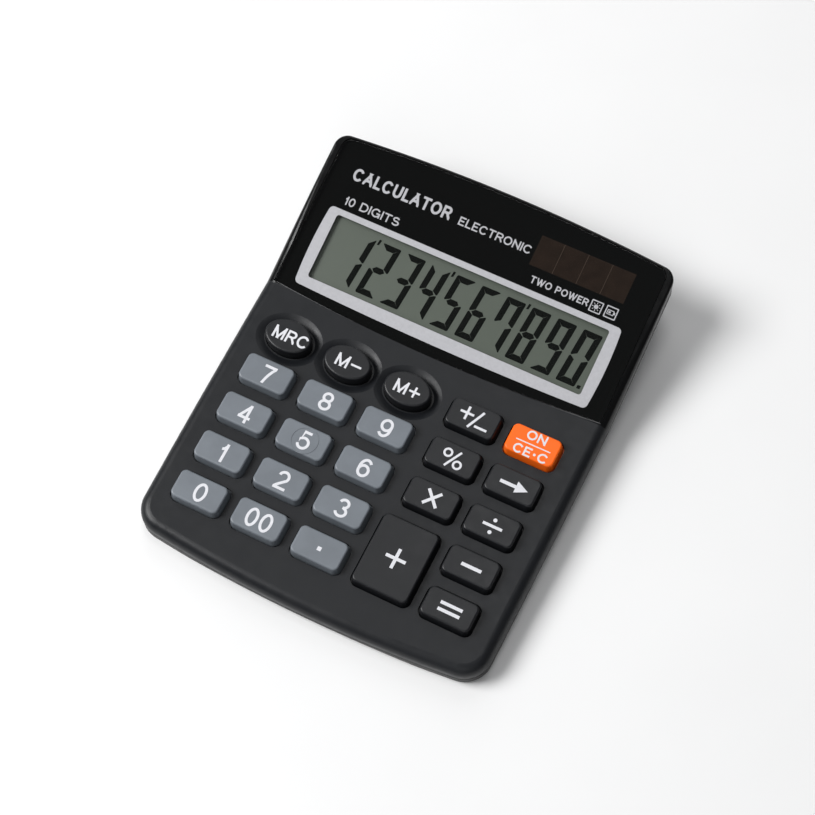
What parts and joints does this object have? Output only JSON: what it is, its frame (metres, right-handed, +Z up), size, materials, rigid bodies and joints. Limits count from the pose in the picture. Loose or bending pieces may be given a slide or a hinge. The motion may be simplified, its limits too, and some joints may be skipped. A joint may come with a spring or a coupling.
{
  "type": "pocket calculator",
  "caption": "Sloping desk-top pocket calculator: matte dark case, steeper glossy display panel with number display and solar cell, spring-back keys.",
  "frame": {"origin": "centre of the overall footprint, on the surface the feet stand on", "axes": "+X to the user's right, +Y from the user towards the display, +Z up"},
  "size_m": [0.105, 0.1288, 0.0229],
  "materials": {
    "board": "satin",
    "case": "fine matte texture",
    "dark_key": "satin",
    "digit_key": "satin",
    "glass": "polished",
    "membrane": "matte",
    "orange_key": "satin",
    "polariser": "satin",
    "reflector": "satin",
    "resin": "satin",
    "ribbon": "satin",
    "rubber": "matte",
    "solar": "polished",
    "steel": "bright",
    "tape": "matte",
    "window": "polished",
    "wire_black": "satin",
    "wire_red": "satin"
  },
  "bodies": {
    "case": {"board_screws": "steel", "button_cell": "steel", "capacitor": "resin", "case_screws": "steel", "cell_clip": "steel", "cell_contact": "steel", "chip_resistors": "resin", "circuit_board": "board", "controller_chip": "resin", "display_window": "window", "foot_front_left": "rubber", "foot_front_right": "rubber", "foot_rear_left": "rubber", "foot_rear_right": "rubber", "front_case": "case", "key_membrane": "membrane", "lcd_front_film": "polariser", "lcd_front_glass": "glass", "lcd_rear_glass": "glass", "lcd_reflector": "reflector", "lcd_ribbon": "ribbon", "rear_cover": "case", "solar_cell": "solar", "solar_wire_negative": "wire_black", "solar_wire_positive": "wire_red", "window_tape": "tape"},
    "key_0": {"key_0": "digit_key"},
    "key_1": {"key_1": "digit_key"},
    "key_2": {"key_2": "digit_key"},
    "key_3": {"key_3": "digit_key"},
    "key_4": {"key_4": "digit_key"},
    "key_5": {"key_5": "digit_key"},
    "key_6": {"key_6": "digit_key"},
    "key_7": {"key_7": "digit_key"},
    "key_8": {"key_8": "digit_key"},
    "key_9": {"key_9": "digit_key"},
    "key_backspace": {"key_backspace": "dark_key"},
    "key_divide": {"key_divide": "dark_key"},
    "key_double_zero": {"key_double_zero": "digit_key"},
    "key_equals": {"key_equals": "dark_key"},
    "key_memory_minus": {"key_memory_minus": "dark_key"},
    "key_memory_plus": {"key_memory_plus": "dark_key"},
    "key_memory_recall": {"key_memory_recall": "dark_key"},
    "key_minus": {"key_minus": "dark_key"},
    "key_multiply": {"key_multiply": "dark_key"},
    "key_on_clear": {"key_on_clear": "orange_key"},
    "key_percent": {"key_percent": "dark_key"},
    "key_plus": {"key_plus": "dark_key"},
    "key_point": {"key_point": "digit_key"},
    "key_sign": {"key_sign": "dark_key"}
  },
  "joints": [
    {"name": "press_0", "type": "slide", "parent": "case", "child": "key_0", "axis": [0, 0.0349, -0.9994], "range_m": [0, 0.001], "stiffness_N_per_m": 400, "deforming": ["key_membrane"]},
    {"name": "press_1", "type": "slide", "parent": "case", "child": "key_1", "axis": [0, 0.0349, -0.9994], "range_m": [0, 0.001], "stiffness_N_per_m": 400, "deforming": ["key_membrane"]},
    {"name": "press_2", "type": "slide", "parent": "case", "child": "key_2", "axis": [0, 0.0349, -0.9994], "range_m": [0, 0.001], "stiffness_N_per_m": 400, "deforming": ["key_membrane"]},
    {"name": "press_3", "type": "slide", "parent": "case", "child": "key_3", "axis": [0, 0.0349, -0.9994], "range_m": [0, 0.001], "stiffness_N_per_m": 400, "deforming": ["key_membrane"]},
    {"name": "press_4", "type": "slide", "parent": "case", "child": "key_4", "axis": [0, 0.0349, -0.9994], "range_m": [0, 0.001], "stiffness_N_per_m": 400, "deforming": ["key_membrane"]},
    {"name": "press_5", "type": "slide", "parent": "case", "child": "key_5", "axis": [0, 0.0349, -0.9994], "range_m": [0, 0.001], "stiffness_N_per_m": 400, "deforming": ["key_membrane"]},
    {"name": "press_6", "type": "slide", "parent": "case", "child": "key_6", "axis": [0, 0.0349, -0.9994], "range_m": [0, 0.001], "stiffness_N_per_m": 400, "deforming": ["key_membrane"]},
    {"name": "press_7", "type": "slide", "parent": "case", "child": "key_7", "axis": [0, 0.0349, -0.9994], "range_m": [0, 0.001], "stiffness_N_per_m": 400, "deforming": ["key_membrane"]},
    {"name": "press_8", "type": "slide", "parent": "case", "child": "key_8", "axis": [0, 0.0349, -0.9994], "range_m": [0, 0.001], "stiffness_N_per_m": 400, "deforming": ["key_membrane"]},
    {"name": "press_9", "type": "slide", "parent": "case", "child": "key_9", "axis": [0, 0.0349, -0.9994], "range_m": [0, 0.001], "stiffness_N_per_m": 400, "deforming": ["key_membrane"]},
    {"name": "press_backspace", "type": "slide", "parent": "case", "child": "key_backspace", "axis": [0, 0.0349, -0.9994], "range_m": [0, 0.001], "stiffness_N_per_m": 400, "deforming": ["key_membrane"]},
    {"name": "press_divide", "type": "slide", "parent": "case", "child": "key_divide", "axis": [0, 0.0349, -0.9994], "range_m": [0, 0.001], "stiffness_N_per_m": 400, "deforming": ["key_membrane"]},
    {"name": "press_double_zero", "type": "slide", "parent": "case", "child": "key_double_zero", "axis": [0, 0.0349, -0.9994], "range_m": [0, 0.001], "stiffness_N_per_m": 400, "deforming": ["key_membrane"]},
    {"name": "press_equals", "type": "slide", "parent": "case", "child": "key_equals", "axis": [0, 0.0349, -0.9994], "range_m": [0, 0.001], "stiffness_N_per_m": 400, "deforming": ["key_membrane"]},
    {"name": "press_memory_minus", "type": "slide", "parent": "case", "child": "key_memory_minus", "axis": [0, 0.0349, -0.9994], "range_m": [0, 0.001], "stiffness_N_per_m": 400, "deforming": ["key_membrane"]},
    {"name": "press_memory_plus", "type": "slide", "parent": "case", "child": "key_memory_plus", "axis": [0, 0.0349, -0.9994], "range_m": [0, 0.001], "stiffness_N_per_m": 400, "deforming": ["key_membrane"]},
    {"name": "press_memory_recall", "type": "slide", "parent": "case", "child": "key_memory_recall", "axis": [0, 0.0349, -0.9994], "range_m": [0, 0.001], "stiffness_N_per_m": 400, "deforming": ["key_membrane"]},
    {"name": "press_minus", "type": "slide", "parent": "case", "child": "key_minus", "axis": [0, 0.0349, -0.9994], "range_m": [0, 0.001], "stiffness_N_per_m": 400, "deforming": ["key_membrane"]},
    {"name": "press_multiply", "type": "slide", "parent": "case", "child": "key_multiply", "axis": [0, 0.0349, -0.9994], "range_m": [0, 0.001], "stiffness_N_per_m": 400, "deforming": ["key_membrane"]},
    {"name": "press_on_clear", "type": "slide", "parent": "case", "child": "key_on_clear", "axis": [0, 0.0349, -0.9994], "range_m": [0, 0.001], "stiffness_N_per_m": 400, "deforming": ["key_membrane"]},
    {"name": "press_percent", "type": "slide", "parent": "case", "child": "key_percent", "axis": [0, 0.0349, -0.9994], "range_m": [0, 0.001], "stiffness_N_per_m": 400, "deforming": ["key_membrane"]},
    {"name": "press_plus", "type": "slide", "parent": "case", "child": "key_plus", "axis": [0, 0.0349, -0.9994], "range_m": [0, 0.001], "stiffness_N_per_m": 400, "deforming": ["key_membrane"]},
    {"name": "press_point", "type": "slide", "parent": "case", "child": "key_point", "axis": [0, 0.0349, -0.9994], "range_m": [0, 0.001], "stiffness_N_per_m": 400, "deforming": ["key_membrane"]},
    {"name": "press_sign", "type": "slide", "parent": "case", "child": "key_sign", "axis": [0, 0.0349, -0.9994], "range_m": [0, 0.001], "stiffness_N_per_m": 400, "deforming": ["key_membrane"]}
  ]
}
